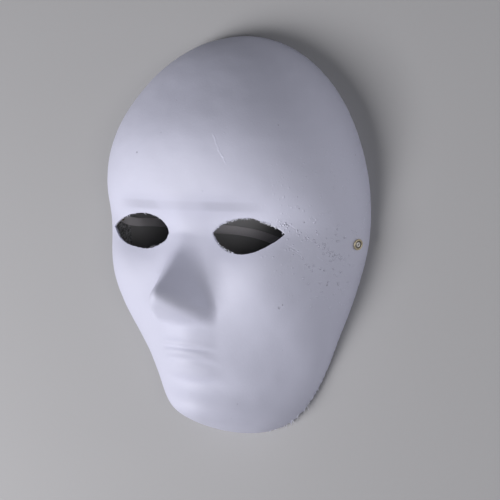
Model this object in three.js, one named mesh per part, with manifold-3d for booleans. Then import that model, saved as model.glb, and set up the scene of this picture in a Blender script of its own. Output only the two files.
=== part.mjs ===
// Blank craft mask of painted paper pulp, lying face up on its rim, with a flat
// elastic strap held by a rivet at each side.
// Units are millimetres. +X is the wearer's left, +Y is towards the forehead and
// +Z is the way the face looks. The rim lies in the plane z = 0, and the origin
// is on the midline, half way along the face.

import * as THREE from "three";
import { mergeVertices } from "three/addons/utils/BufferGeometryUtils.js";
import Module from "manifold-3d";

// Overall form of the face
const HALF_LENGTH = 122.5; // half of the distance from chin to crown
const WALL = 1.6; // thickness of the moulded pulp
const SECTION_POWER = 2.12; // how square a cross-section is: 2 is an ellipse
// At stations from the chin (-1) to the crown (1): the half width, before the
// outline's ends are rounded, and the depth of the plain dome
const WIDTH_STATIONS = [
  [-1, 105], [-0.82, 90], [-0.68, 85], [-0.5, 83], [-0.25, 87.2],
  [0, 92.8], [0.25, 95.8], [0.5, 97.6], [0.75, 99.6], [1, 100.5],
];
const DEPTH_STATIONS = [
  [-1, 64], [-0.7, 61], [-0.5, 60], [-0.25, 60], [0, 60.5],
  [0.25, 71], [0.5, 79], [0.75, 75], [1, 69],
];

// Soft rises and hollows on the dome: height, centre and spread, on both sides
const SOCKET = { height: -11.5, x: 39, spreadX: 29, y: 11, spreadY: 11.5 };
const CHEEK = { height: 8, x: 55, spreadX: 16, y: -16, spreadY: 25 };
const MUZZLE = { height: 9.5, x: 0, spreadX: 15.5, y: -67, spreadY: 22 };
const CHIN_GROOVE = { height: -2, x: 0, spreadX: 20, y: -87.5, spreadY: 4.5 };
const CHIN = { height: 16, x: 0, spreadX: 25, y: -105, spreadY: 9 };
const JAW_HOLLOW = { height: -8.5, x: 58, spreadX: 14, y: -81, spreadY: 20 };
const RELIEF = [SOCKET, CHEEK, MUZZLE, CHIN_GROOVE, CHIN, JAW_HOLLOW];
const RIM_FADE = 0.08; // the relief fades out over this share before the rim
const MIDLINE_EASE = 5; // keeps mirrored relief smooth over the midline

// Brow: a low arched ridge, with a small step down to the eyelids
const BROW = { y: 19, arch: 2, halfSpan: 45, height: 2.2, spreadX: 36, spreadY: 9.5 };
const LID = { step: 1.5, arch: 1, softness: 1.6, x: 36, spreadX: 20, endY: 8, spreadY: 14 };

// Nose: two side planes that meet in a rounded ridge and steepen downwards, cut
// off below by a third plane, without nostrils
const NOSE = {
  rootY: 1.3, tipY: -39.4, height: 36.3, hollow: 0.53, ridgeRadius: 2.5,
  sideAtRoot: 0.28, sideAtTip: 1.78, steepest: 1.2, baseY: -48.9, baseSlope: 1.6,
  tipBlend: 16, footBlend: 4,
};

// Eye openings: almond shapes cut by hand, so the two differ a bit
const LEFT_EYE = {
  side: 1, innerX: 18.9, outerX: 63.5, innerY: 4.3, outerY: 5.3,
  rise: 8.8, drop: 11.8, skew: 1.5, innerPower: 1.6, outerPower: 1.75,
};
const RIGHT_EYE = {
  side: -1, innerX: 12.9, outerX: 69.8, innerY: 3.4, outerY: 5.1,
  rise: 10, drop: 10.8, skew: 6.8, innerPower: 1.36, outerPower: 1.95,
};

// Net of quads over the face: a square net, drawn out to the face's outline
const NET = 20; // quads from the middle to the rim
const NET_CROWDING = 1.45; // above 1 the quads crowd towards the rim
const EYE_BLOCK = { i0: 1, i1: 13, j0: -2, j1: 4 }; // quads that an eye replaces
const EYE_RINGS = 4; // rings of quads from an eye's edge to its block's edge
// The net is drawn together by these shares: its rows at the brow and at the
// tip of the nose, and its columns at the ridge of the nose. The rows stay apart
// near the rim, and more so for a higher side power.
const BROW_DRAW = { share: 0.4, y: 12, spread: 25, sidePower: 8 };
const TIP_DRAW = { share: 0.62, y: -35.5, spread: 16, spreadX: 24 };
const RIDGE_DRAW = { share: 0.35, y: -34, spread: 20, spreadX: 20 };
const WALL_NORMAL_STEP = 0.5; // how far apart the heights are that give a direction
const RIVET_NORMAL_STEP = 0.05;
const SIDE_WALL_START = 0.8; // the side wall lies beyond this share of the half width
const HALVINGS = 40; // times that a rivet's place is narrowed down

// Rivets: radii, and heights along the axis from the wall's outer face
const RIVET = {
  shank: 1.5, hole: 1.9, sides: 14,
  flange: 3.3, flangeGap: 0.35, crest: 2.75, top: 1.05, groove: 2, grooveTop: 0.65,
  button: 1.1, pitTop: 0.7, innerFlange: 2.8, innerDepth: 3.9, innerEnd: 4.65,
  drillLength: 12,
};
const RIVET_PLACES = {
  rivet_left: { side: 1, y: -0.7, z: 10.5 },
  rivet_right: { side: -1, y: 9, z: 14 },
};

// Strap: a flat elastic that drops from each rivet and lies loose on the floor
const STRAP = { width: 5.5, thickness: 0.9, edge: 0.25, steps: 62, floorZ: 0.6, wallShare: 0.7 };
const STRAP_ROUTE = [
  [88.2, 2.6, 13.2], [88.6, 1.1, 11.5], [88.8, -0.4, 9.9], [88.4, -3, 7],
  [87.1, -5.5, 4.5], [84.8, -7.6, 2.4], [81.6, -9.1, 1.1], [77.8, -9.9, 0.6],
  [70, -10.4, 0.6], [60, -9.8, 0.6], [49.5, -7.9, 0.6], [38.5, -5.2, 0.6],
  [27.4, -2, 0.6], [13, 1.4, 0.6], [-0.8, 3, 0.6], [-10.2, 3.4, 0.6],
  [-20.5, 3.4, 0.6], [-33, 3.7, 0.6], [-46, 4.6, 0.6], [-59.9, 5.6, 0.6],
  [-70.1, 5.9, 0.6], [-79, 5.7, 0.6], [-82.8, 5.5, 1.3], [-85.9, 5.8, 3.2],
  [-88.3, 6.6, 6.2], [-89.2, 7.8, 9.6], [-88.8, 9.2, 13.1], [-88.1, 10, 15.1],
  [-87.3, 10.8, 17.1],
];

const PULP_PAINT = { color: 0xf1efe9, roughness: 0.85, metalness: 0 };
const RIVET_METAL = { color: 0xb8a98c, roughness: 0.35, metalness: 1 };
const ELASTIC = { color: 0xe9e7e2, roughness: 0.9, metalness: 0 };

const wasm = await Module();
wasm.setup();

const { clamp, lerp } = THREE.MathUtils;

// 1 at the middle, falling smoothly to 0 at about three spreads away
function bell(distance, spread) {
  return Math.exp(-0.5 * (distance / spread) ** 2);
}

function smoothMax(a, b, blend) {
  const h = clamp(0.5 + (0.5 * (a - b)) / blend, 0, 1);
  return lerp(b, a, h) + blend * h * (1 - h);
}

function smoothMin(a, b, blend) {
  return -smoothMax(-a, -b, blend);
}

// A smooth cubic curve through [place, value] stations, as a function of place
function curveThrough(stations) {
  const last = stations.length - 1;
  const gaps = [];
  const rises = [];
  for (let k = 0; k < last; k++) {
    gaps.push(stations[k + 1][0] - stations[k][0]);
    rises.push((stations[k + 1][1] - stations[k][1]) / gaps[k]);
  }
  const slopes = new Array(last + 1);
  for (let k = 1; k < last; k++) {
    slopes[k] = (rises[k - 1] * gaps[k] + rises[k] * gaps[k - 1]) / (gaps[k - 1] + gaps[k]);
  }
  slopes[0] = 2 * rises[0] - slopes[1];
  slopes[last] = 2 * rises[last - 1] - slopes[last - 1];
  return (place) => {
    const at = clamp(place, stations[0][0], stations[last][0]);
    let k = 0;
    while (k < last - 1 && at > stations[k + 1][0]) k++;
    const t = (at - stations[k][0]) / gaps[k];
    const rest = 1 - t;
    const values = stations[k][1] * rest * rest * (1 + 2 * t) + stations[k + 1][1] * t * t * (3 - 2 * t);
    const bends = slopes[k] * rest - slopes[k + 1] * t;
    return values + gaps[k] * t * rest * bends;
  };
}

const fullWidth = curveThrough(WIDTH_STATIONS);
const fullDepth = curveThrough(DEPTH_STATIONS);

// A point of the face's outline, at an angle from +X
function outlinePoint(angle) {
  const x = Math.cos(angle) * fullWidth(Math.sin(angle));
  return new THREE.Vector2(x, HALF_LENGTH * Math.sin(angle));
}

// Arched line across the face: highest on the midline
function arched(y, arch, x) {
  return y + arch * (1 - (x / BROW.halfSpan) ** 2);
}

function noseHeight(x, y) {
  const down = (NOSE.rootY - y) / (NOSE.rootY - NOSE.tipY);
  const onRidge = clamp(down, 0, 1);
  const ridge = NOSE.height * (down - NOSE.hollow * onRidge * (1 - onRidge));
  const slope = lerp(NOSE.sideAtRoot, NOSE.sideAtTip, clamp(down, 0, NOSE.steepest));
  const side = ridge - slope * (Math.hypot(x, NOSE.ridgeRadius) - NOSE.ridgeRadius);
  const base = NOSE.baseSlope * (y - NOSE.baseY);
  return smoothMax(smoothMin(side, base, NOSE.tipBlend), 0, NOSE.footBlend);
}

// Height of the outer face over the floor, above a point of the plan
function faceHeight(x, y) {
  const along = clamp(y / HALF_LENGTH, -1, 1);
  const roundEnd = Math.sqrt(1 - along * along);
  const across = clamp(Math.abs(x) / Math.max(roundEnd * fullWidth(along), 1e-6), 0, 1);
  const dome = roundEnd * fullDepth(along) * Math.sqrt(1 - across ** SECTION_POWER);
  const inside = (1 - across * across) * (1 - along * along);
  const fade = inside / (inside + RIM_FADE);

  const off = Math.hypot(x, MIDLINE_EASE);
  const browLine = arched(BROW.y, BROW.arch, x);
  let relief = BROW.height * bell(y - browLine, BROW.spreadY) * bell(x, BROW.spreadX);
  for (const form of RELIEF) {
    const sideways = form.x === 0 ? x : off - form.x;
    relief += form.height * bell(sideways, form.spreadX) * bell(y - form.y, form.spreadY);
  }
  const below = 1 / (1 + Math.exp((y - arched(BROW.y, LID.arch, x)) / LID.softness));
  const lidEnd = bell(Math.min(y - LID.endY, 0), LID.spreadY);
  relief -= LID.step * below * lidEnd * bell(off - LID.x, LID.spreadX);
  return dome + fade * relief + noseHeight(x, y);
}

// Outward direction of the outer face, from heights a short step away
function faceNormal(x, y, step) {
  const slopeX = (faceHeight(x + step, y) - faceHeight(x - step, y)) / (2 * step);
  const slopeY = (faceHeight(x, y + step) - faceHeight(x, y - step)) / (2 * step);
  return new THREE.Vector3(-slopeX, -slopeY, 1).normalize();
}

// Level outward direction of the wall at the rim
function rimNormal(angle) {
  const step = 0.001;
  const along = outlinePoint(angle + step).sub(outlinePoint(angle - step));
  return new THREE.Vector3(along.y, -along.x, 0).normalize();
}

// Place of a net line between the middle and the rim, as a share
function netShare(line) {
  return Math.sign(line) * (1 - (1 - Math.abs(line) / NET) ** NET_CROWDING);
}

// A knot of the square net, drawn out to a disc of radius 1
function discPoint(i, j) {
  const u = netShare(i);
  const v = netShare(j);
  return new THREE.Vector2(u * Math.sqrt(1 - (v * v) / 2), v * Math.sqrt(1 - (u * u) / 2));
}

// A knot of the net in plan
function netPoint(i, j) {
  const disc = discPoint(i, j);
  const onRim = Math.max(Math.abs(i), Math.abs(j)) === NET;
  const x = disc.x * fullWidth(disc.y);
  const y = HALF_LENGTH * disc.y;
  if (onRim) return new THREE.Vector2(x, y);
  const offSides = 1 - disc.x ** BROW_DRAW.sidePower;
  const brow = BROW_DRAW.share * bell(y - BROW_DRAW.y, BROW_DRAW.spread) * offSides;
  const tip = TIP_DRAW.share * bell(y - TIP_DRAW.y, TIP_DRAW.spread) * bell(x, TIP_DRAW.spreadX);
  const ridge = RIDGE_DRAW.share * bell(y - RIDGE_DRAW.y, RIDGE_DRAW.spread) * bell(x, RIDGE_DRAW.spreadX);
  return new THREE.Vector2(
    x * (1 - ridge),
    y - brow * (y - BROW_DRAW.y) - tip * (y - TIP_DRAW.y),
  );
}

// A point of an eye's edge, counted from its outer corner, for the +X side
function eyePoint(eye, angle) {
  const towardsOuter = (1 + Math.cos(angle)) / 2;
  const lift = Math.sin(angle);
  const power = lerp(eye.innerPower, eye.outerPower, towardsOuter);
  const reach = (lift > 0 ? eye.rise : -eye.drop) * Math.abs(lift) ** power;
  const x = lerp(eye.innerX, eye.outerX, towardsOuter) - eye.skew * lift * lift;
  return new THREE.Vector2(x, lerp(eye.innerY, eye.outerY, towardsOuter) + reach);
}

// The knots round an eye's block, from the middle of its outer side, then up
function blockKnots() {
  const { i0, i1, j0, j1 } = EYE_BLOCK;
  const middle = (j0 + j1) / 2;
  const knots = [];
  for (let j = middle; j < j1; j++) knots.push([i1, j]);
  for (let i = i1; i > i0; i--) knots.push([i, j1]);
  for (let j = j1; j > j0; j--) knots.push([i0, j]);
  for (let i = i0; i < i1; i++) knots.push([i, j0]);
  for (let j = j0; j < middle; j++) knots.push([i1, j]);
  return knots;
}

function inEyeBlock(i, j) {
  const column = i >= 0 ? i : -1 - i;
  const inColumns = column >= EYE_BLOCK.i0 && column < EYE_BLOCK.i1;
  return inColumns && j >= EYE_BLOCK.j0 && j < EYE_BLOCK.j1;
}

// Plan of the outer face: its points, with the rim's normals, and its quads
function facePlan() {
  const points = [];
  const rimNormals = new Map();
  const quads = [];
  const knotIndex = new Map();

  function addKnot(i, j) {
    const name = `${i},${j}`;
    if (!knotIndex.has(name)) {
      knotIndex.set(name, points.length);
      if (Math.max(Math.abs(i), Math.abs(j)) === NET) {
        rimNormals.set(points.length, rimNormal(discPoint(i, j).angle()));
      }
      points.push(netPoint(i, j));
    }
    return knotIndex.get(name);
  }

  for (let i = -NET; i < NET; i++) {
    for (let j = -NET; j < NET; j++) {
      if (inEyeBlock(i, j)) continue;
      quads.push([addKnot(i, j), addKnot(i + 1, j), addKnot(i + 1, j + 1), addKnot(i, j + 1)]);
    }
  }

  for (const eye of [LEFT_EYE, RIGHT_EYE]) {
    const knots = blockKnots();
    const count = knots.length;
    let outer = knots.map(([i, j]) => addKnot(eye.side * i, j));
    for (let ring = EYE_RINGS - 1; ring >= 0; ring--) {
      const inner = knots.map(([i, j], k) => {
        const edge = eyePoint(eye, (2 * Math.PI * k) / count);
        const point = edge.lerp(netPoint(i, j), ring / EYE_RINGS);
        point.x *= eye.side;
        return points.push(point) - 1;
      });
      for (let k = 0; k < count; k++) {
        const next = (k + 1) % count;
        const quad = [inner[k], outer[k], outer[next], inner[next]];
        quads.push(eye.side > 0 ? quad : quad.reverse());
      }
      outer = inner;
    }
  }
  return { points, rimNormals, quads };
}

// Whether a quad's diagonal from a to c lies nearer the true face than b to d
function splitsFromFirst([a, b, c, d]) {
  const x = (a.x + b.x + c.x + d.x) / 4;
  const y = (a.y + b.y + c.y + d.y) / 4;
  const height = faceHeight(x, y);
  return Math.abs((a.z + c.z) / 2 - height) <= Math.abs((b.z + d.z) / 2 - height);
}

function meshGeometry(vertices, triangles) {
  const geometry = new THREE.BufferGeometry().setFromPoints(vertices);
  geometry.setIndex(triangles.flat());
  return geometry;
}

// The pulp wall: the outer face, the same face moved in by the wall, and strips
// that close the rim and the eyes' edges
function shellGeometry() {
  const { points, rimNormals, quads } = facePlan();
  const count = points.length;
  const outer = [];
  const inner = [];
  points.forEach((point, k) => {
    const onRim = rimNormals.has(k);
    const normal = onRim ? rimNormals.get(k) : faceNormal(point.x, point.y, WALL_NORMAL_STEP);
    const height = onRim ? 0 : faceHeight(point.x, point.y);
    const vertex = new THREE.Vector3(point.x, point.y, height);
    outer.push(vertex);
    inner.push(vertex.clone().addScaledVector(normal, -WALL));
  });

  const triangles = [];
  const openEdges = new Map();
  for (const quad of quads) {
    const first = splitsFromFirst(quad.map((k) => outer[k])) ? 0 : 1;
    const [a, b, c, d] = [0, 1, 2, 3].map((k) => quad[(k + first) % 4]);
    triangles.push([a, b, c], [a, c, d]);
    triangles.push([a + count, c + count, b + count], [a + count, d + count, c + count]);
    quad.forEach((from, k) => {
      const to = quad[(k + 1) % 4];
      if (!openEdges.delete(`${to},${from}`)) openEdges.set(`${from},${to}`, [from, to]);
    });
  }
  for (const [from, to] of openEdges.values()) {
    triangles.push([to, from, from + count], [to, from + count, to + count]);
  }
  return meshGeometry([...outer, ...inner], triangles);
}

// Where a rivet stands on the side wall, and its outward axis
function rivetFrame({ side, y, z }) {
  const rimX = outlinePoint(Math.asin(y / HALF_LENGTH)).x;
  let near = SIDE_WALL_START * rimX;
  let far = rimX;
  for (let k = 0; k < HALVINGS; k++) {
    const middle = (near + far) / 2;
    if (faceHeight(middle, y) > z) near = middle;
    else far = middle;
  }
  const position = new THREE.Vector3(side * near, y, faceHeight(near, y));
  const axis = faceNormal(side * near, y, RIVET_NORMAL_STEP);
  const turn = new THREE.Quaternion().setFromUnitVectors(new THREE.Vector3(0, 1, 0), axis);
  return { position, axis, turn };
}

// Tubular rivet: an outer head with a groove and a dimpled button, a shank
// through the wall and the strap, and a rolled end inside
function rivetGeometry() {
  const r = RIVET;
  const profile = [
    [0, -r.innerDepth - 0.1], [0.9, -r.innerDepth - 0.2], [1.3, -r.innerEnd + 0.1],
    [2.2, -r.innerEnd], [r.innerFlange, -r.innerEnd + 0.35],
    [r.innerFlange, -r.innerDepth], [r.shank, -r.innerDepth],
    [r.shank, r.flangeGap], [r.flange, r.flangeGap], [r.flange, r.flangeGap + 0.25],
    [r.crest, r.top], [r.groove + 0.3, r.top - 0.1], [r.groove, r.grooveTop],
    [r.groove - 0.35, r.grooveTop], [r.button, r.top], [0.5, r.top - 0.1],
    [0, r.pitTop],
  ];
  const points = profile.map(([radius, height]) => new THREE.Vector2(radius, height));
  return new THREE.LatheGeometry(points, r.sides);
}

function strapCurve() {
  const route = STRAP_ROUTE.map((point) => new THREE.Vector3(...point));
  return new THREE.CatmullRomCurve3(route);
}

// Flat ribbon along the route: its broad face lies on the wall at each rivet,
// and on the floor between them
function strapGeometry(frames) {
  const curve = strapCurve();
  const up = new THREE.Vector3(0, 0, 1);
  const halfWidth = STRAP.width / 2;
  const halfThickness = STRAP.thickness / 2;
  const corner = halfThickness - STRAP.edge;
  const section = [
    [-halfWidth, -corner], [-halfWidth + STRAP.edge, -halfThickness],
    [halfWidth - STRAP.edge, -halfThickness], [halfWidth, -corner],
    [halfWidth, corner], [halfWidth - STRAP.edge, halfThickness],
    [-halfWidth + STRAP.edge, halfThickness], [-halfWidth, corner],
  ];
  const sides = section.length;
  const vertices = [];
  const triangles = [];
  for (let k = 0; k <= STRAP.steps; k++) {
    const share = k / STRAP.steps;
    const point = curve.getPointAt(share);
    const along = curve.getTangentAt(share);
    const rivet = point.x > 0 ? frames.rivet_left : frames.rivet_right;
    const wallZ = STRAP.wallShare * (rivet.position.z - STRAP.floorZ);
    const onWall = clamp((point.z - STRAP.floorZ) / wallZ, 0, 1);
    const broad = up.clone().lerp(rivet.axis.clone().negate(), onWall);
    const sideways = new THREE.Vector3().crossVectors(broad, along).normalize();
    const inward = new THREE.Vector3().crossVectors(along, sideways);
    for (const [across, lift] of section) {
      const vertex = point.clone().addScaledVector(sideways, across);
      vertices.push(vertex.addScaledVector(inward, lift));
    }
    if (k === 0) continue;
    const here = k * sides;
    const before = here - sides;
    for (let s = 0; s < sides; s++) {
      const next = (s + 1) % sides;
      triangles.push([before + s, before + next, here + next]);
      triangles.push([before + s, here + next, here + s]);
    }
  }
  const lastRing = STRAP.steps * sides;
  for (let s = 1; s < sides - 1; s++) {
    triangles.push([0, s + 1, s], [lastRing, lastRing + s, lastRing + s + 1]);
  }
  return meshGeometry(vertices, triangles);
}

function toSolid(geometry) {
  geometry.deleteAttribute("normal");
  geometry.deleteAttribute("uv");
  const merged = mergeVertices(geometry);
  const vertProperties = Float32Array.from(merged.getAttribute("position").array);
  const triVerts = Uint32Array.from(merged.index.array);
  return new wasm.Manifold(new wasm.Mesh({ numProp: 3, vertProperties, triVerts }));
}

// Cuts the rivets' holes through a geometry
function drilled(geometry, frames) {
  let solid = toSolid(geometry);
  for (const frame of Object.values(frames)) {
    const drill = new THREE.CylinderGeometry(RIVET.hole, RIVET.hole, RIVET.drillLength, RIVET.sides);
    drill.applyQuaternion(frame.turn);
    drill.translate(frame.position.x, frame.position.y, frame.position.z);
    solid = solid.subtract(toSolid(drill));
  }
  const mesh = solid.getMesh();
  const result = new THREE.BufferGeometry();
  result.setAttribute("position", new THREE.BufferAttribute(mesh.vertProperties, 3));
  result.setIndex(new THREE.BufferAttribute(mesh.triVerts, 1));
  return result;
}

function namedMesh(name, geometry, look) {
  geometry.computeVertexNormals();
  const mesh = new THREE.Mesh(geometry, new THREE.MeshStandardMaterial(look));
  mesh.name = name;
  return mesh;
}

const frames = {};
for (const [name, place] of Object.entries(RIVET_PLACES)) frames[name] = rivetFrame(place);

const mask = new THREE.Group();
mask.add(namedMesh("mask_shell", drilled(shellGeometry(), frames), PULP_PAINT));
mask.add(namedMesh("elastic_strap", drilled(strapGeometry(frames), frames), ELASTIC));
for (const [name, frame] of Object.entries(frames)) {
  const rivet = namedMesh(name, rivetGeometry(), RIVET_METAL);
  rivet.position.copy(frame.position);
  rivet.quaternion.copy(frame.turn);
  mask.add(rivet);
}

export default mask;
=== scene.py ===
"""A blank paper mask lying face up: its painted pulp wall, elastic strap and rivets.

Everything is in metres. +X is the wearer's left, +Y is towards the forehead and
+Z is the way the face looks. The rim lies in the plane z = 0.
"""

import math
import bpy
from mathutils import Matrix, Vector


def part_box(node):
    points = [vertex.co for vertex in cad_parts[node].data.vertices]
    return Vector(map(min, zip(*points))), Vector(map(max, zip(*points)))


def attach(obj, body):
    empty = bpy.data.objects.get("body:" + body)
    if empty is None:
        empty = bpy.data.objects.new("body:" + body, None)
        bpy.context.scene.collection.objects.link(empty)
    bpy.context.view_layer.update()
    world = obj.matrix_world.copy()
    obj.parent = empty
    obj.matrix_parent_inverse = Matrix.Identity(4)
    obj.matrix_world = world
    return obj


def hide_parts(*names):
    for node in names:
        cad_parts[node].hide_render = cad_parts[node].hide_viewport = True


bl_info = {
    "name": "Blank Paper Mask",
    "version": (1, 0, 0),
    "blender": (4, 5, 0),
    "location": "3D View > Sidebar > Paper Mask",
    "description": "Builds a blank mask of painted paper pulp, with its strap and rivets",
    "category": "Add Mesh",
}

import bpy
import numpy as np
from bpy.props import FloatProperty, FloatVectorProperty, IntProperty, PointerProperty
from bpy.types import Operator, Panel, PropertyGroup
from mathutils import Matrix, Vector

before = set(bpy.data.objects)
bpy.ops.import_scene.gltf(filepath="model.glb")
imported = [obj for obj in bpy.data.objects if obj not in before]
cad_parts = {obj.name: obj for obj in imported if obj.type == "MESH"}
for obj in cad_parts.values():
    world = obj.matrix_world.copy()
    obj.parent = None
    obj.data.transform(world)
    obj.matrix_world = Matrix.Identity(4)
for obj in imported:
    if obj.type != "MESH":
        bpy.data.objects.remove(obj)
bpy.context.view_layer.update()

# Overall form of the face
HALF_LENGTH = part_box("mask_shell")[1].y
WALL = 0.0016
SECTION_POWER = 2.12  # how square a cross-section is: 2 is an ellipse
# At stations from the chin (-1) to the crown (1): the half width, before the
# outline's ends are rounded, and the depth of the plain dome
WIDTH_STATIONS = np.array([
    [-1, 0.105], [-0.82, 0.090], [-0.68, 0.085], [-0.5, 0.083], [-0.25, 0.0872],
    [0, 0.0928], [0.25, 0.0958], [0.5, 0.0976], [0.75, 0.0996], [1, 0.1005],
])
DEPTH_STATIONS = np.array([
    [-1, 0.064], [-0.7, 0.061], [-0.5, 0.060], [-0.25, 0.060], [0, 0.0605],
    [0.25, 0.071], [0.5, 0.079], [0.75, 0.075], [1, 0.069],
])

# Soft rises and hollows on the dome: height, then centre and spread in x and y
SOCKET = (-0.0115, 0.039, 0.029, 0.011, 0.0115)
CHEEK = (0.008, 0.055, 0.016, -0.016, 0.025)
MUZZLE = (0.0095, 0, 0.0155, -0.067, 0.022)
CHIN_GROOVE = (-0.002, 0, 0.020, -0.0875, 0.0045)
CHIN = (0.016, 0, 0.025, -0.105, 0.009)
JAW_HOLLOW = (-0.0085, 0.058, 0.014, -0.081, 0.020)
RELIEF = (SOCKET, CHEEK, MUZZLE, CHIN_GROOVE, CHIN, JAW_HOLLOW)
RIM_FADE = 0.08  # the relief is halved where (1 - across squared)(1 - along squared) is this
MIDLINE_EASE = 0.005  # keeps mirrored relief smooth over the midline

# Brow: a low arched ridge, with a small step down to the eyelids
BROW = {"y": 0.019, "arch": 0.002, "half_span": 0.045, "height": 0.0022,
        "spread_x": 0.036, "spread_y": 0.0095}
LID = {"step": 0.0015, "arch": 0.001, "softness": 0.0016, "x": 0.036,
       "spread_x": 0.020, "end_y": 0.008, "spread_y": 0.014}
# Nose: two side planes that meet in a rounded ridge, cut off below by a third
NOSE = {"root_y": 0.0013, "tip_y": -0.0394, "height": 0.0363, "hollow": 0.53,
        "ridge_radius": 0.0025, "side_at_root": 0.28, "side_at_tip": 1.78, "steepest": 1.2,
        "base_y": -0.0489, "base_slope": 1.6, "tip_blend": 0.016, "foot_blend": 0.004}

# Low bands over the mouth, from the top down: height, y on the midline, spread
# in y, and how far the band drops at the corners of the mouth
MOUTH_BANDS = (
    (0.00045, -0.0606, 0.0015, 0.0012),  # upper lip
    (-0.00100, -0.0632, 0.0009, 0.0012),  # parting
    (0.00080, -0.0668, 0.0018, 0.0018),  # lower lip
    (-0.00085, -0.0704, 0.0013, 0.0024),  # hollow below it
    (0.00045, -0.0792, 0.0026, 0.0006),  # swell over the chin
    (-0.00060, -0.0850, 0.0020, 0.0006),  # crease over the chin
)
MOUTH = {"half_width": 0.0175, "softness": 0.0030}
# Shallow hollows: depth, then centre and spread in x and y. The first lies off the
# midline under the nose, and the folds are on both sides.
LIP_HOLLOW = (0.0011, -0.004, 0.006, -0.0562, 0.0036)
BROW_FOLD = (0.00045, 0.034, 0.013, 0.0220, 0.0020)
CHEEK_FOLD = (0.00016, 0.0225, 0.0022, -0.0575, 0.0065)

# Eye openings, cut by hand, so the wearer's left one (1) and right one (-1) differ
EYES = {
    1: {"inner_x": 0.0189, "outer_x": 0.0635, "inner_y": 0.0043, "outer_y": 0.0053,
        "rise": 0.0088, "drop": 0.0118, "skew": 0.0015, "inner_power": 1.6, "outer_power": 1.75,
        "seed": 12},
    -1: {"inner_x": 0.0129, "outer_x": 0.0698, "inner_y": 0.0034, "outer_y": 0.0051,
         "rise": 0.0100, "drop": 0.0108, "skew": 0.0068, "inner_power": 1.36, "outer_power": 1.95,
         "seed": 10},
}

# Net of quads over the face: NET quads from the middle to the rim, drawn
# together at the brow, at the tip of the nose and its ridge, and at the mouth
NET = 20
NET_CROWDING = 1.45  # above 1 the quads crowd towards the rim
EYE_BLOCK = (1, 13, -2, 4)  # the quads that an eye replaces: i0, i1, j0, j1
EYE_RINGS = 4  # rings of quads from an eye's edge to its block's edge
BROW_DRAW = {"share": 0.4, "y": 0.012, "spread": 0.025}
BROW_SIDE_POWER = 8  # the higher, the nearer to the rim the rows stay drawn together
TIP_DRAW = {"share": 0.62, "y": -0.0355, "spread": 0.016, "spread_x": 0.024}
RIDGE_DRAW = {"share": 0.35, "y": -0.034, "spread": 0.020, "spread_x": 0.020}
MOUTH_DRAW = {"share": 0.5, "y": -0.067, "spread": 0.015, "spread_x": 0.030}
NORMAL_STEP = 0.0004  # how far off, to each side, the heights are that give a direction

# Seeded waves: how many, the longest and the shortest, over places in metres and for
# the eyes over points of a circle of radius 1
PULP_WAVES = (60, 0.070, 0.009)
RIM_WAVES = (90, 0.012, 0.0011)
EYE_WAVES = (40, 0.9, 0.05)
WAVE_CREST = 1.5  # a sum of waves seldom passes this times the root of its squared weights
PULP_SEED, RIM_SEED, FIBRE_SEED = 5, 23, 31

RIM_ROUNDING = 0.00045
EDGE_ROWS = 5  # rows of quads round each corner of the rim, and across an eye's edge
FULL_DENTS_Z = 0.008  # dents have their full depth from this height over the rim
FACE_INSET = 0.00004  # keeps the outer face just inside the solid's
EDGE_BULGE = 0.12  # of the wall's thickness, at an eye's cut edge
# How the rough cut edge fades into the face: per ring off an eye, and in metres off the rim
EDGE_FADE = {"eye": 2.2, "rim": 0.0012}
# The rim's ragged stretch, at the jaw of the +X side: its middle and spread as angles, and
# the half width there
RAGGED = {"middle": -0.95, "spread": 0.28, "half_width": 0.083}
# Wear of the rim's outer corner: its least depth, the depth of its waves, how much more that
# is in the ragged stretch, and the waves' middle level
RIM_WEAR = {"least": 0.00004, "waves": 0.00012, "ragged": 0.0005, "level": 0.4}

# Torn threads and flakes of pulp
RIM_FIBRES, EYE_FIBRES = 60, 190
LEFT_EYE_SHARE = 0.8  # of the eyes' fibres
# Where they crowd: on the rim, as an angle and its spread, and on an eye's edge, as
# the angle from the outer corner, its spread and the tuft's share
RIM_TUFT = (-0.98, 0.22)
EYE_TUFTS = np.array([
    [2.05, 0.22, 0.38], [0.95, 0.16, 0.26], [4.05, 0.28, 0.20], [1.5, 0.6, 0.16],
])
# From least to most, in metres
RIM_ROOT_HEIGHTS = (0.0008, 0.0030)
RIM_FIBRE_LENGTHS, EYE_FIBRE_LENGTHS = (0.0010, 0.0023), (0.0005, 0.0016)
THREAD_WIDTHS, FLAKE_WIDTHS = (0.00004, 0.00009), (0.00020, 0.00048)
FIBRE_SPREAD, FIBRE_BEND = 0.55, 0.35  # how far their directions stray, and their tips
RIM_SPREAD = (1.0, 1.0, 0.35)  # of that, in x, y and z: those on the rim lie flatter
ROOT_DEPTH = 0.0006  # how deep in the pulp they begin, at most
THREAD_SHARE = 0.45  # the rest are flakes
FLAKE_FLATNESS = 0.5
THREAD_ROWS, THREAD_SIDES = 6, 6
THREAD_TAPER = 0.75  # share of the width that is gone at the tip
OFF_THREADS = np.array([0.31, 0.17, 0.93])  # a direction that no thread takes

# Dark marks in the paint: x, y and radius
DARK_MARKS = ((0.0605, -0.0369, 0.0013), (0.0622, -0.0352, 0.0007), (-0.0085, 0.0626, 0.0008),
              (-0.0272, 0.0509, 0.0009), (0.0800, -0.0240, 0.0007))

# Scratches on the wearer's left side: their middle, and directions along and across them
SCRATCH_MIDDLE = (0.076, 0.001, 0.033)
SCRATCH_WAY, SCRATCH_ACROSS = (0.553, -0.522, -0.650), (0.308, 0.852, -0.422)
# Middles of the loose bumps, over the cheek's side and over the whole side
CHEEK_BUMPS, SIDE_BUMPS = (0.0790, -0.0080, 0.0240), (0.088, 0.010, 0.012)
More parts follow.
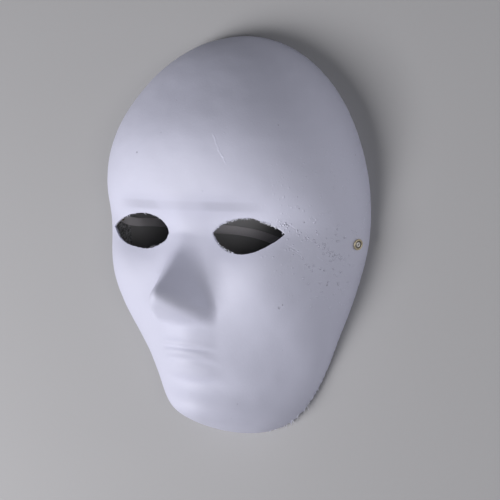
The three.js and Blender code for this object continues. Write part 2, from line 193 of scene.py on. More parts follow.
# The forehead's crease: its middle, and directions along and across it
CREASE_MIDDLE = (0.0322, 0.0530, 0.0650)
CREASE_WAY, CREASE_ACROSS = (0.494, -0.869, 0.0), (0.869, 0.494, 0.0)
PAINTED_BROW_SHADE_Y = 0.0200  # where a band of painted shade lies, along the fold under the brow

# Rivets: places on the side walls, as the side and then y and z
RIVET_PLACES = {"rivet_left": (1, -0.0007, 0.0105), "rivet_right": (-1, 0.009, 0.014)}
SIDE_WALL_START = 0.8  # the side wall lies beyond this share of the half width
SIDE_WALL_POINTS = 20001
RIVET_NORMAL_STEP = 0.00005
RIVET_SIDES, HEAD_ROWS, ROLL_ROWS = 72, 72, 12
# The head: its rings as shares of its radius, and heights over the wall
RIVET_HEAD = {"ring": 0.83, "ring_reach": 0.172, "ring_rise": 0.00057, "groove_z": 0.00045,
              "button": 0.44, "button_rise": 0.00050, "dimple": 0.13, "dimple_depth": 0.00040,
              "lip": 0.985, "lip_z": 0.00048, "under_z": 0.00036}
# The shank and the rolled end inside: radii, and heights over the wall or over the end
RIVET_END = {"shank": 0.0015, "start_z": -0.0039, "z": -0.00465, "roll_start": 0.0021,
             "roll_reach": 0.0007, "roll_middle": 0.00038, "roll_rise": 0.00037,
             "mouth": 0.0013, "mouth_rise": 0.0001, "pit_rise": 0.0006}

# The strap's middle line, from rivet_left over the floor to rivet_right
STRAP_ROUTE = np.array([
    [0.0882, 0.0026, 0.0132], [0.0886, 0.0011, 0.0115], [0.0888, -0.0004, 0.0099],
    [0.0884, -0.0030, 0.0070], [0.0871, -0.0055, 0.0045], [0.0848, -0.0076, 0.0024],
    [0.0816, -0.0091, 0.0011], [0.0778, -0.0099, 0.0006], [0.0700, -0.0104, 0.0006],
    [0.0600, -0.0098, 0.0006], [0.0495, -0.0079, 0.0006], [0.0385, -0.0052, 0.0006],
    [0.0274, -0.0020, 0.0006], [0.0130, 0.0014, 0.0006], [-0.0008, 0.0030, 0.0006],
    [-0.0102, 0.0034, 0.0006], [-0.0205, 0.0034, 0.0006], [-0.0330, 0.0037, 0.0006],
    [-0.0460, 0.0046, 0.0006], [-0.0599, 0.0056, 0.0006], [-0.0701, 0.0059, 0.0006],
    [-0.0790, 0.0057, 0.0006], [-0.0828, 0.0055, 0.0013], [-0.0859, 0.0058, 0.0032],
    [-0.0883, 0.0066, 0.0062], [-0.0892, 0.0078, 0.0096], [-0.0888, 0.0092, 0.0131],
    [-0.0881, 0.0100, 0.0151], [-0.0873, 0.0108, 0.0171],
])
STRAP_FLOOR_Z = 0.0006
STRAP_WALL_SHARE = 0.7  # of a rivet's height, from which the strap lies along the wall
SPAN_SAMPLES, STRAP_STEPS = 40, 260
SECTION_POINTS = 112
FURROWED_SHARE = 0.97  # of the strap's width
FURROW_DEPTH = 0.22  # of its thickness, on both sides together
CROSS_THREADS = 1900.0  # to a metre

IMAGE_SIZE = 500  # pixels a side
SENSOR = 36.0  # millimetres
FLOOR_HALF = 3.0
LIGHT_COLOUR = (1.0, 0.985, 1.0)
ROOM_COLOUR = (0.90, 0.94, 1.0, 1.0)
# Soft lights: place, aim, size and share of the key light's power
LIGHTS = {
    "key_light": ((-0.66, -0.43, 0.95), (0.0, 0.0, 0.05), 0.55, 1.0),
    "side_light": ((0.72, -0.02, 0.76), (0.0, 0.0, 0.02), 0.24, 0.115),
    "edge_light": ((1.00, 0.10, 0.13), (0.08, 0.0, 0.03), 0.20, 0.085),
}


def length_property(name, description, default):
    return FloatProperty(name=name, description=description, default=default, unit="LENGTH")


def angle_property(name, description, degrees):
    return FloatProperty(
        name=name, description=description, default=math.radians(degrees), subtype="ANGLE")


def colour_property(name, description, default):
    return FloatVectorProperty(
        name=name, description=description, default=default, subtype="COLOR", min=0.0, max=1.0)


class ShellSettings(PropertyGroup):
    """Sizes and colours of the pulp wall."""

    net_factor: IntProperty(
        name="Net factor", description="Quads of the inner face to one quad of the net",
        default=3, min=1, max=3)
    fine: FloatProperty(
        name="Fine relief", description="Share of the fine relief of the mouth, brow and cheeks",
        default=1.0, min=0.0, max=2.0, subtype="FACTOR")
    unevenness: length_property(
        "Unevenness", "How far the hand-laid pulp dips below the true form", 0.00035)
    fraying: length_property("Fraying", "How far the eyes' cut edges wander", 0.00028)
    paint: colour_property("Paint", "Colour of the matte paint", (0.72, 0.73, 0.88))
    pulp: colour_property("Bare pulp", "Colour of the bare inside", (0.50, 0.50, 0.53))
    roughness: FloatProperty(
        name="Paint roughness", description="Roughness of the paint", default=0.62,
        min=0.0, max=1.0, subtype="FACTOR")


class StrapSettings(PropertyGroup):
    """Sizes and colour of the elastic strap."""

    width: length_property("Width", "Width of the flat elastic", 0.0055)
    thickness: length_property("Thickness", "Thickness of the elastic", 0.0009)
    ribs: IntProperty(
        name="Ribs", description="Ribs side by side across the strap", default=9, min=1)
    colour: colour_property("Elastic", "Colour of the yarn", (0.95, 0.92, 0.97))


class RivetSettings(PropertyGroup):
    """Sizes and colours of the two rivets."""

    head: length_property("Head radius", "Radius of the outer head", 0.0033)
    ring: colour_property("Ring", "Colour of the head's outer ring", (0.80, 0.70, 0.50))
    button: colour_property("Button", "Colour of the middle button", (0.92, 0.90, 0.88))


class StudioSettings(PropertyGroup):
    """The camera, the lights and the floor."""

    yaw: angle_property("Yaw", "Turn of the view to the wearer's left", 37.0)
    pitch: angle_property("Pitch", "Turn of the view towards the forehead", 3.2)
    roll: angle_property("Roll", "Turn of the picture", 0.65)
    distance: length_property(
        "Distance", "From the middle of the rim's plane to the camera", 0.85)
    aim_right: length_property(
        "Aim right", "Where the camera aims, to the right of the middle", 0.0052)
    aim_down: length_property(
        "Aim down", "Where the camera aims, below the middle", 0.0088)
    focal_pixels: FloatProperty(
        name="Focal length", description="Focal length in pixels of the square image",
        default=1373.0)
    key_power: FloatProperty(
        name="Key light", description="Power of the large soft light", default=12.9,
        unit="POWER")
    fill: FloatProperty(
        name="Fill", description="Strength of the even light of the room", default=0.085)
    floor: colour_property("Floor", "Colour of the plain floor", (0.44, 0.44, 0.45))


SETTINGS = {
    "mask_shell_settings": ShellSettings,
    "mask_strap_settings": StrapSettings,
    "mask_rivet_settings": RivetSettings,
    "mask_studio_settings": StudioSettings,
}


# Small maths on whole arrays


def bell(distance, spread):
    """exp(-distance squared over twice spread squared): 1 in the middle, then falling off."""
    return np.exp(-0.5 * (distance / spread) ** 2)


def lerp(start, end, share):
    return start + (end - start) * share


def smooth_max(a, b, blend):
    """The larger of a and b, with a rounded change-over where they are within blend."""
    share = np.clip(0.5 + 0.5 * (a - b) / blend, 0.0, 1.0)
    return lerp(b, a, share) + blend * share * (1.0 - share)


def smooth_min(a, b, blend):
    return -smooth_max(-a, -b, blend)


def smooth_step(start, end, value):
    """0 up to start, 1 from end on, and 3t squared less 2t cubed between them."""
    t = np.clip((value - start) / (end - start), 0.0, 1.0)
    return t * t * (3.0 - 2.0 * t)


def unit(vectors):
    """Each row over its own length."""
    return vectors / np.linalg.norm(vectors, axis=-1, keepdims=True)


def full_turn(count):
    """Angles at equal steps round a circle."""
    return 2.0 * math.pi * np.arange(count) / count


def curve_through(stations, place):
    """Cubic Hermite curve through rows of place and value. The slope at a station is
    the mean of the rises beside it, the nearer one weighing more."""
    places, values = stations[:, 0], stations[:, 1]
    gaps = np.diff(places)
    rises = np.diff(values) / gaps
    slopes = np.empty(len(places))
    slopes[1:-1] = (rises[:-1] * gaps[1:] + rises[1:] * gaps[:-1]) / (gaps[:-1] + gaps[1:])
    slopes[0] = 2.0 * rises[0] - slopes[1]
    slopes[-1] = 2.0 * rises[-1] - slopes[-2]
    at = np.clip(place, places[0], places[-1])
    k = np.clip(np.searchsorted(places, at) - 1, 0, len(gaps) - 1)
    t = (at - places[k]) / gaps[k]
    rest = 1.0 - t
    line = values[k] * rest * rest * (1.0 + 2.0 * t) + values[k + 1] * t * t * (3.0 - 2.0 * t)
    return line + gaps[k] * t * rest * (slopes[k] * rest - slopes[k + 1] * t)


# The face as a height over the floor


def arched(y, arch, x):
    """A line across the face at y, raised by arch on the midline, as a parabola."""
    return y + arch * (1.0 - (x / BROW["half_span"]) ** 2)


def nose_height(x, y):
    """Two side planes fall from a rounded ridge line and steepen downwards, and a third
    plane cuts them off below. The planes meet by smooth_min, and the face by smooth_max."""
    down = (NOSE["root_y"] - y) / (NOSE["root_y"] - NOSE["tip_y"])
    on_ridge = np.clip(down, 0.0, 1.0)
    ridge = NOSE["height"] * (down - NOSE["hollow"] * on_ridge * (1.0 - on_ridge))
    steepness = np.clip(down, 0.0, NOSE["steepest"])
    slope = lerp(NOSE["side_at_root"], NOSE["side_at_tip"], steepness)
    radius = NOSE["ridge_radius"]
    side = ridge - slope * (np.hypot(x, radius) - radius)
    base = NOSE["base_slope"] * (y - NOSE["base_y"])
    return smooth_max(smooth_min(side, base, NOSE["tip_blend"]), 0.0, NOSE["foot_blend"])


def mound(x, y, form):
    """A height times a bell in x and a bell in y about a centre."""
    height, middle_x, spread_x, middle_y, spread_y = form
    return height * bell(x - middle_x, spread_x) * bell(y - middle_y, spread_y)


def fine_relief(x, y):
    """Sum of low bands over the mouth, each a bell in y about a line that bends with x
    squared, less the shallow hollows under the nose, at the cheeks and under the brow."""
    half_width = MOUTH["half_width"]
    within = 1.0 - smooth_step(-1.0, 1.0, (np.abs(x) - half_width) / (2.0 * MOUTH["softness"]))
    bent = (x / half_width) ** 2
    bands = sum(height * bell(y - (middle - drop * bent), spread)
                for height, middle, spread, drop in MOUTH_BANDS)
    folds = mound(np.abs(x), y, BROW_FOLD) + mound(np.abs(x), y, CHEEK_FOLD)
    return within * bands - mound(x, y, LIP_HOLLOW) - folds


def face_height(x, y, fine=0.0):
    """A dome, round in plan and superelliptic across, plus soft rises and hollows that
    fade out before the rim, with a share of the fine relief, plus the nose."""
    along = np.clip(y / HALF_LENGTH, -1.0, 1.0)
    round_end = np.sqrt(1.0 - along * along)
    reach = np.maximum(round_end * curve_through(WIDTH_STATIONS, along), 1e-9)
    across = np.clip(np.abs(x) / reach, 0.0, 1.0)
    dome = round_end * curve_through(DEPTH_STATIONS, along) * np.sqrt(1.0 - across**SECTION_POWER)
    inside = (1.0 - across * across) * (1.0 - along * along)
    fade = inside / (inside + RIM_FADE)

    off = np.hypot(x, MIDLINE_EASE)
    brow_line = arched(BROW["y"], BROW["arch"], x)
    relief = BROW["height"] * bell(y - brow_line, BROW["spread_y"]) * bell(x, BROW["spread_x"])
    for form in RELIEF:
        on_midline = form[1] == 0
        relief = relief + mound(x if on_midline else off, y, form)
    above_lid = np.clip((y - arched(BROW["y"], LID["arch"], x)) / LID["softness"], -50.0, 50.0)
    lid_end = bell(np.minimum(y - LID["end_y"], 0.0), LID["spread_y"])
    lid = LID["step"] / (1.0 + np.exp(above_lid)) * lid_end * bell(off - LID["x"], LID["spread_x"])
    return dome + fade * (relief - lid + fine * fine_relief(x, y)) + nose_height(x, y)


def face_normal(x, y, step=NORMAL_STEP, fine=0.0):
    """Outward direction, from the heights a step to each side."""
    slope_x = (face_height(x + step, y, fine) - face_height(x - step, y, fine)) / (2.0 * step)
    slope_y = (face_height(x, y + step, fine) - face_height(x, y - step, fine)) / (2.0 * step)
    return unit(np.stack([-slope_x, -slope_y, np.ones_like(slope_x)], axis=-1))


def outline(angle):
    """The rim in plan: x is the half width times the cosine, y the half length times the sine."""
    sine = np.sin(angle)
    return np.stack([np.cos(angle) * curve_through(WIDTH_STATIONS, sine), HALF_LENGTH * sine], -1)


def outline_normal(angle):
    """Level outward direction at the rim: the outline's own direction, turned a quarter."""
    step = 0.001
    along = outline(angle + step) - outline(angle - step)
    return unit(np.stack([along[..., 1], -along[..., 0], np.zeros(np.shape(angle))], axis=-1))


def ripple(places, seed, waves):
    """A sum of sine waves in seeded directions over the places, from -1 to 1 or so. Each
    wave is weaker the shorter it is."""
    count, longest, shortest = waves
    draw = np.random.default_rng(seed)
    lengths = longest * (shortest / longest) ** draw.random(count)
    ways = unit(draw.normal(size=(count, places.shape[-1])))
    starts = draw.random(count) * 2.0 * math.pi
    weights = np.sqrt(lengths)
    heights = np.sin(places @ (ways * (2.0 * math.pi / lengths)[:, None]).T + starts)
    return heights @ weights / (np.sqrt((weights**2).sum()) * WAVE_CREST)


# The net of quads over the face


def around(i0, i1, j0, j1):
    """Knots round a block of quads, counter-clockwise from the middle of its i1 side."""
    middle = (j0 + j1) // 2
    i = [np.full(j1 - middle, i1), np.arange(i1, i0, -1), np.full(j1 - j0, i0),
         np.arange(i0, i1), np.full(middle - j0, i1)]
    j = [np.arange(middle, j1), np.full(i1 - i0, j1), np.arange(j1, j0, -1),
         np.full(i1 - i0, j0), np.arange(j0, middle)]
    return np.concatenate(i), np.concatenate(j)


def disc_points(i, j, net):
    """Knots of the square net drawn out to a disc of radius 1: u and v are shares of the
    way to the rim, crowded towards it, and x = u root(1 - v squared / 2), y likewise."""
    u, v = (np.sign(k) * (1.0 - (1.0 - np.abs(k) / net) ** NET_CROWDING) for k in (i, j))
    return u * np.sqrt(1.0 - v * v / 2.0), v * np.sqrt(1.0 - u * u / 2.0)


def drawn_in(x, y, draw):
    """How much of the net's spacing goes at a place: a share times a bell in y, and one in
    x where the draw has a spread in x."""
    share = draw["share"] * bell(y - draw["y"], draw["spread"])
    return share * bell(x, draw["spread_x"]) if "spread_x" in draw else share


def net_points(i, j, net):
    """Knots of the net in plan: the disc, drawn out to the outline, and off the rim drawn
    together by bells at the brow, at the tip and the ridge of the nose, and at the mouth."""
    disc_x, disc_y = disc_points(i, j, net)
    x = disc_x * curve_through(WIDTH_STATIONS, disc_y)
    y = HALF_LENGTH * disc_y
    off_rim = np.maximum(np.abs(i), np.abs(j)) < net
    brow = drawn_in(x, y, BROW_DRAW) * (1.0 - disc_x**BROW_SIDE_POWER)
    tip = drawn_in(x, y, TIP_DRAW)
    mouth = drawn_in(x, y, MOUTH_DRAW)
    drawn_x = x * (1.0 - drawn_in(x, y, RIDGE_DRAW))
    drawn_y = (y - brow * (y - BROW_DRAW["y"]) - tip * (y - TIP_DRAW["y"])
               - mouth * (y - MOUTH_DRAW["y"]))
    return np.stack([np.where(off_rim, drawn_x, x), np.where(off_rim, drawn_y, y)], axis=-1)


def eye_edge(side, angle, fraying):
    """An almond from the outer corner round: x runs between the corners with the cosine,
    y with a power of the sine, and seeded waves make the cut wander."""
    outward = (1.0 + np.cos(angle)) / 2.0
    lift = np.sin(angle)
    eye = EYES[side]
    power = lerp(eye["inner_power"], eye["outer_power"], outward)
    reach = np.where(lift > 0.0, eye["rise"], -eye["drop"]) * np.abs(lift) ** power
    x = lerp(eye["inner_x"], eye["outer_x"], outward) - eye["skew"] * lift**2
    y = lerp(eye["inner_y"], eye["outer_y"], outward) + reach
    ring = np.stack([np.cos(angle), lift], axis=-1)
    wander = fraying * ripple(ring, eye["seed"], EYE_WAVES)
    return np.stack([x, y], axis=-1) + wander[:, None] * ring


def face_plan(factor, fraying):
    """The net in plan: its points, its quads, its rim and its two eyes' edges in order,
    and each point's count of rings from an eye's edge. Rings of quads lead from an eye's
    edge to the knots round its block, spaced evenly."""
    net = NET * factor
    i0, i1, j0, j1 = (factor * k for k in EYE_BLOCK)
    i, j = np.meshgrid(np.arange(-net, net + 1), np.arange(-net, net + 1), indexing="ij")
    row = 2 * net + 1
    points = [net_points(i.ravel(), j.ravel(), net)]
    corner = (i[:-1, :-1] + net) * row + j[:-1, :-1] + net
    column = np.where(i[:-1, :-1] >= 0, i[:-1, :-1], -1 - i[:-1, :-1])
    in_block = (column >= i0) & (column < i1) & (j[:-1, :-1] >= j0) & (j[:-1, :-1] < j1)
    corner = corner[~in_block]
    quads = [np.stack([corner, corner + row, corner + row + 1, corner + 1], axis=-1)]

    rim_i, rim_j = around(-net, net, -net, net)
    rim = (rim_i + net) * row + rim_j + net
    rings = EYE_RINGS * factor
    ring_of_point = [np.full(row * row, rings)]
    made = row * row
    eyes = {}
    for side in (1, -1):
        block_i, block_j = around(i0, i1, j0, j1)
        count = len(block_i)
        edge = eye_edge(side, full_turn(count), fraying)
        knots = net_points(block_i, block_j, net)
        share = (np.arange(rings) / rings)[:, None, None]
        new = lerp(edge, knots, share) * np.array([side, 1.0])
        points.append(new.reshape(-1, 2))
        ring_of_point.append(np.repeat(np.arange(rings), count))
        ids = made + np.arange(rings * count).reshape(rings, count)
        made += rings * count
        ids = np.vstack([ids, (side * block_i + net) * row + block_j + net])
        quads.append(band(ids, flipped=side < 0))
        eyes[side] = ids[0]

    points = np.concatenate(points)
    quads = np.concatenate(quads)
    used = np.zeros(len(points), bool)
    used[quads] = True
    new_id = np.cumsum(used) - 1
    eyes = {side: new_id[ids] for side, ids in eyes.items()}
    rings_away = np.concatenate(ring_of_point)[used] / rings
    return points[used], new_id[quads], new_id[rim], eyes, rings_away


def band(rows, flipped=False):
    """Quads between rows of points that close round: from a row to the next, then along."""
    here, below = rows[:-1], rows[1:]
    quads = np.stack([here, below, np.roll(below, -1, axis=1), np.roll(here, -1, axis=1)], axis=-1)
    quads = quads.reshape(-1, 4)
    return quads[:, ::-1] if flipped else quads


def seam(fine, coarse, flipped=False):
    """Triangles from a closed row of points to one with half as many: three to a step."""
    even, odd, after = fine[0::2], fine[1::2], np.roll(fine[0::2], -1)
    onward = np.roll(coarse, -1)
    triangles = np.concatenate([
        np.stack([even, coarse, odd], axis=-1),
        np.stack([odd, coarse, onward], axis=-1),
        np.stack([odd, onward, after], axis=-1),
    ])
    return triangles[:, ::-1] if flipped else triangles


def end_caps(ids, first, last):
    """Triangles that close the two end rows of a tube, each on a point of its own."""
    onward = np.roll(ids, -1, axis=1)
    sides = ids.shape[1]
    return np.concatenate([
        np.stack([np.full(sides, first), ids[0], onward[0]], axis=-1),
        np.stack([np.full(sides, last), onward[-1], ids[-1]], axis=-1),
    ])


def new_mesh(name, points, quads, triangles=()):
    """A smooth mesh object at the origin, from arrays of points and faces."""
    triangles = np.asarray(triangles, int).reshape(-1, 3)
    corners = np.concatenate([quads.ravel(), triangles.ravel()]).astype(np.int32)
    sizes = np.concatenate([np.full(len(quads), 4), np.full(len(triangles), 3)])
    starts = (np.cumsum(sizes) - sizes).astype(np.int32)
    mesh = bpy.data.meshes.new(name)
    mesh.vertices.add(len(points))
    mesh.vertices.foreach_set("co", np.asarray(points, np.float32).ravel())
    mesh.loops.add(len(corners))
    mesh.loops.foreach_set("vertex_index", corners)
    mesh.polygons.add(len(starts))
    mesh.polygons.foreach_set("loop_start", starts)
    mesh.update(calc_edges=True)
    mesh.validate()
    mesh.shade_smooth()
    made = bpy.data.objects.new(name, mesh)
    bpy.context.scene.collection.objects.link(made)
    return made


def tube_piece(name, rows, ends):
    """Closed rows of points, each joined to the next, and an end point for both end rows."""
    ids = np.arange(rows.shape[0] * rows.shape[1]).reshape(rows.shape[:2])
    caps = end_caps(ids, ids.size, ids.size + 1)
    return new_mesh(name, np.concatenate([rows.reshape(-1, 3), ends]), band(ids), caps)


def add_attribute(piece, name, values):
    """One number at each point of a piece, for its material to read."""
    attribute = piece.data.attributes.new(name, "FLOAT", "POINT")
    attribute.data.foreach_set("value", np.asarray(values, np.float32))


def finish_piece(piece, material, slot, *nodes):
    """Gives a piece its material and the root body, and hides the imported parts of the nodes that
    it stands for. The slot is not used.
    """
    piece.data.materials.append(material)
    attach(piece, "root")
    if nodes:
        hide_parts(*nodes)


# The pulp wall


def dented(points, normals, depth):
    """Points moved inwards by 0 to depth, in slow waves, and not at the rim."""
    wave = ripple(points, PULP_SEED, PULP_WAVES)
    off_rim = smooth_step(0.0, FULL_DENTS_Z, points[:, 2])
    dent = depth * np.clip(0.5 - 0.5 * wave, 0.0, 1.0) * off_rim
    return points - normals * (dent + FACE_INSET)[:, None]


def face_points(plan, rim, fine, depth):
    """Outer points and outward directions over a plan."""
    x, y = plan.T
    heights = face_height(x, y, fine)
    normals = face_normal(x, y, fine=fine)
    along = y[rim] / HALF_LENGTH
    across = x[rim] / curve_through(WIDTH_STATIONS, along)
    normals[rim] = outline_normal(np.arctan2(along, across))
    heights[rim] = RIM_ROUNDING
    points = np.stack([x, y, np.maximum(heights, RIM_ROUNDING)], axis=-1)
    return dented(points, normals, depth), normals


def rim_rows(points, normals, worn):
    """Rows from the outer face under the rim to the inner face: a quarter round at each
    corner of a flat edge. A worn stretch of the outer corner is drawn in."""
    turn = np.linspace(0.0, math.pi / 2.0, EDGE_ROWS + 1)
    cosine, sine = RIM_ROUNDING * np.cos(turn), RIM_ROUNDING * np.sin(turn)
    inwards = np.concatenate([(RIM_ROUNDING - cosine)[1:], (WALL - RIM_ROUNDING + sine)[:-1]])
    heights = np.concatenate([(RIM_ROUNDING - sine)[1:], (RIM_ROUNDING - cosine)[:-1]])
    drawn = worn * (1.0 - inwards[:, None] / WALL)
    rows = points - normals * (inwards[:, None] + drawn)[..., None]
    rows[..., 2] = heights[:, None]
    return rows


def eye_rows(points, normals, inwards_way):
    """Rows through the wall at an eye's cut edge, bulging a little into the opening."""
    share = np.linspace(0.0, 1.0, EDGE_ROWS + 2)[1:-1][:, None, None]
    bulge = EDGE_BULGE * WALL * np.sin(math.pi * share)
    return points - normals * WALL * share + inwards_way * bulge


def rim_wear(places):
    """How far the outer corner of the rim is drawn in: waves, strongest at the jaw of the
    +X side, where the pulp is ragged."""
    angle = np.arctan2(places[:, 1] / HALF_LENGTH, places[:, 0] / RAGGED["half_width"])
    ragged = bell(angle - RAGGED["middle"], RAGGED["spread"])
    wave = np.clip(RIM_WEAR["level"] + ripple(places[:, :2], RIM_SEED, RIM_WAVES), 0.0, 1.0)
    return RIM_WEAR["least"] + (RIM_WEAR["waves"] + RIM_WEAR["ragged"] * ragged) * wave


def shell_piece(settings):
    """The outer face on a close net and the inner face, one wall further in, on a net half
    as close. Rows close the rim and the eyes' edges, and seams join them to the inner net."""
    factor, fraying = settings.net_factor, settings.fraying
    outer_plan, outer_quads, outer_rim, outer_eyes, rings_away = face_plan(2 * factor, fraying)
    plan, quads, rim, eyes, _ = face_plan(factor, fraying)
    outer, outer_normals = face_points(outer_plan, outer_rim, settings.fine, settings.unevenness)
    base, normals = face_points(plan, rim, settings.fine, settings.unevenness)
    inner = base - normals * WALL
    inner[rim, 2] = RIM_ROUNDING
    inner[:, 2] = np.maximum(inner[:, 2], RIM_ROUNDING)

    points = [outer, inner]
    inner_start = len(outer)
    bare = [np.zeros(len(outer)), np.ones(len(inner))]
    made = len(outer) + len(inner)
    all_quads = [outer_quads, quads[:, ::-1] + inner_start]
    triangles = []

    def close(rows, start_ids, end_ids, flipped):
        nonlocal made
        ids = made + np.arange(rows.shape[0] * rows.shape[1]).reshape(rows.shape[:2])
        made += ids.size
        points.append(rows.reshape(-1, 3))
        bare.append(np.repeat(np.linspace(0.1, 0.9, len(rows)), rows.shape[1]))
        all_quads.append(band(np.vstack([start_ids, ids]), flipped))
        triangles.append(seam(ids[-1], end_ids, flipped))

    rim_points, rim_normals = outer[outer_rim], outer_normals[outer_rim]
    wear = rim_wear(rim_points)
    close(rim_rows(rim_points, rim_normals, wear), outer_rim, rim + inner_start, False)
    for side in (1, -1):
        ids = outer_eyes[side]
        edge, edge_normals = outer[ids], outer_normals[ids]
        middle = edge.mean(axis=0)
        close(eye_rows(edge, edge_normals, unit(middle - edge)), ids,
              eyes[side] + inner_start, side > 0)
    outer[outer_rim] -= rim_normals * wear[:, None]

    piece = new_mesh("mask_wall", np.concatenate(points), np.concatenate(all_quads),
                     np.concatenate(triangles))
    add_attribute(piece, "bare", np.concatenate(bare))
    near_eye = np.exp(-rings_away * EYE_RINGS * EDGE_FADE["eye"]) * (rings_away < 1.0)
    near_rim = np.exp(-outer[:, 2] / EDGE_FADE["rim"])
    edge = np.maximum(near_eye, near_rim)
    add_attribute(piece, "edge", np.concatenate([edge, np.ones(made - len(outer))]))
    return piece


# Fibres and torn flakes of pulp


def whiskers(name, roots, ways, bends, lengths, widths, flatness):
    """Tapered threads: each middle line is root + way s + bend s squared, and its section
    an ellipse that shrinks to the tip. Sides close the tube and a point closes each end."""
    share = np.linspace(0.0, 1.0, THREAD_ROWS)[None, :, None]
    swept = ways[:, None] * share + bends[:, None] * share**2
    lines = roots[:, None] + lengths[:, None, None] * swept
    along = unit(np.gradient(lines, axis=1))
    across = unit(np.cross(along, OFF_THREADS))
    upright = np.cross(along, across)
    taper = ((1.0 - THREAD_TAPER * share) * widths[:, None, None])[:, :, None]
    turn = full_turn(THREAD_SIDES)[:, None]
    ring = (across[:, :, None] * (np.cos(turn) * taper)
            + upright[:, :, None] * (np.sin(turn) * taper) * flatness[:, None, None, None])
    tubes = (lines[:, :, None] + ring).reshape(len(roots), -1, 3)
    ends = np.stack([lines[:, 0], lines[:, -1] + along[:, -1] * widths[:, None]], axis=1)
    points = np.concatenate([tubes, ends], axis=1)
    start = points.shape[1] * np.arange(len(roots))[:, None, None]
    ids = np.arange(THREAD_ROWS * THREAD_SIDES).reshape(THREAD_ROWS, THREAD_SIDES)
    quads = (band(ids, flipped=True)[None] + start).reshape(-1, 4)
    caps = end_caps(ids, ids.size, ids.size + 1)[:, [0, 2, 1]]
    triangles = (caps[None] + start).reshape(-1, 3)
    return new_mesh(name, points.reshape(-1, 3), quads, triangles)


def rim_fibres(draw, count):
    """Roots, directions and lengths along the rim's ragged stretch, outwards and upwards."""
    angle = draw.normal(*RIM_TUFT, count)
    out = outline_normal(angle)
    height = draw.uniform(*RIM_ROOT_HEIGHTS, count)
    roots = np.column_stack([outline(angle), height]) - out * ROOT_DEPTH
    ways = out + draw.normal(0.0, FIBRE_SPREAD, (count, 3)) * RIM_SPREAD
    ways[:, 2] = np.abs(ways[:, 2])
    return roots, unit(ways), draw.uniform(*RIM_FIBRE_LENGTHS, count)


def eye_fibres(draw, count, settings):
    """Roots, directions and lengths round the eyes' edges, towards the eyes' middles. Most
    are at the left eye: at both ends of its upper edge, and below it."""
    side = np.where(np.arange(count) < LEFT_EYE_SHARE * count, 1, -1)
    chosen = EYE_TUFTS[draw.choice(len(EYE_TUFTS), count, p=EYE_TUFTS[:, 2])]
    turn = draw.normal(chosen[:, 0], chosen[:, 1])
    left, right = (eye_edge(s, turn, settings.fraying) for s in (1, -1))
    plan = np.where(side[:, None] > 0, left, right) * np.column_stack([side, np.ones(count)])
    x, y = plan.T
    heights = face_height(x, y, settings.fine)
    surface = np.column_stack([plan, heights])
    eye = EYES[1]
    middle = np.column_stack([side * (eye["outer_x"] + eye["inner_x"]) / 2.0,
                              np.full(count, eye["inner_y"]), heights])
    roots = surface - face_normal(x, y) * draw.uniform(0.0, ROOT_DEPTH, count)[:, None]
    ways = unit(middle - surface) * 0.9 + draw.normal(0.0, FIBRE_SPREAD, (count, 3))
    return roots, unit(ways), draw.uniform(*EYE_FIBRE_LENGTHS, count)


def torn_fibres(settings):
    """Seeded threads and flakes along the ragged part of the rim, and round the eyes' edges."""
    draw = np.random.default_rng(FIBRE_SEED)
    on_rim = rim_fibres(draw, RIM_FIBRES)
    at_eyes = eye_fibres(draw, EYE_FIBRES, settings)
    roots, ways, lengths = (np.concatenate(pair) for pair in zip(on_rim, at_eyes))
    thin = draw.random(len(roots)) < THREAD_SHARE
    widths = np.where(thin, draw.uniform(*THREAD_WIDTHS, len(roots)),
                      draw.uniform(*FLAKE_WIDTHS, len(roots)))
    flatness = np.where(thin, 1.0, FLAKE_FLATNESS)
    bends = draw.normal(0.0, FIBRE_BEND, (len(roots), 3))
    bends[:RIM_FIBRES, 2] = np.abs(bends[:RIM_FIBRES, 2])
    return whiskers("torn_fibres", roots, ways, bends, lengths, widths, flatness)


# The strap


def smooth_route(knots, samples):
    """Centripetal Catmull-Rom curve through the knots: each span is a cubic whose end
    slopes come from the knots before and after, timed by the root of their distances."""
    first, last = 2.0 * knots[0] - knots[1], 2.0 * knots[-1] - knots[-2]
    padded = np.vstack([first, knots, last])
    p0, p1, p2, p3 = padded[:-3], padded[1:-2], padded[2:-1], padded[3:]
    d0, d1, d2 = (np.sqrt(np.linalg.norm(b - a, axis=1))[:, None]
                  for a, b in ((p0, p1), (p1, p2), (p2, p3)))
    start = ((p1 - p0) / d0 - (p2 - p0) / (d0 + d1) + (p2 - p1) / d1) * d1
    end = ((p2 - p1) / d1 - (p3 - p1) / (d1 + d2) + (p3 - p2) / d2) * d1
    t = np.linspace(0.0, 1.0, samples, endpoint=False)[None, :, None]
    p1, p2, start, end = (a[:, None] for a in (p1, p2, start, end))
    spans = (p1 + start * t + (3.0 * (p2 - p1) - 2.0 * start - end) * t**2
             + (2.0 * (p1 - p2) + start + end) * t**3)
    return np.vstack([spans.reshape(-1, 3), knots[-1]])


def even_steps(line, count):
    """Points at equal steps of length along a line of points, and the line's length."""
    reach = np.concatenate([[0.0], np.cumsum(np.linalg.norm(np.diff(line, axis=0), axis=1))])
    at = np.linspace(0.0, reach[-1], count)
    return np.column_stack([np.interp(at, reach, line[:, axis]) for axis in range(3)]), reach[-1]


def rivet_frame(side, y, z):
    """Where a rivet stands on the side wall, at height z, and its outward direction."""
    rim_x = outline(np.arcsin(y / HALF_LENGTH))[0]
    x = np.linspace(SIDE_WALL_START * rim_x, rim_x, SIDE_WALL_POINTS)
    heights = face_height(x, np.full_like(x, y))
    there = side * np.interp(z, heights[::-1], x[::-1])
    axis = face_normal(np.array([there]), np.array([y]), RIVET_NORMAL_STEP)[0]
    return np.array([there, y, z]), axis


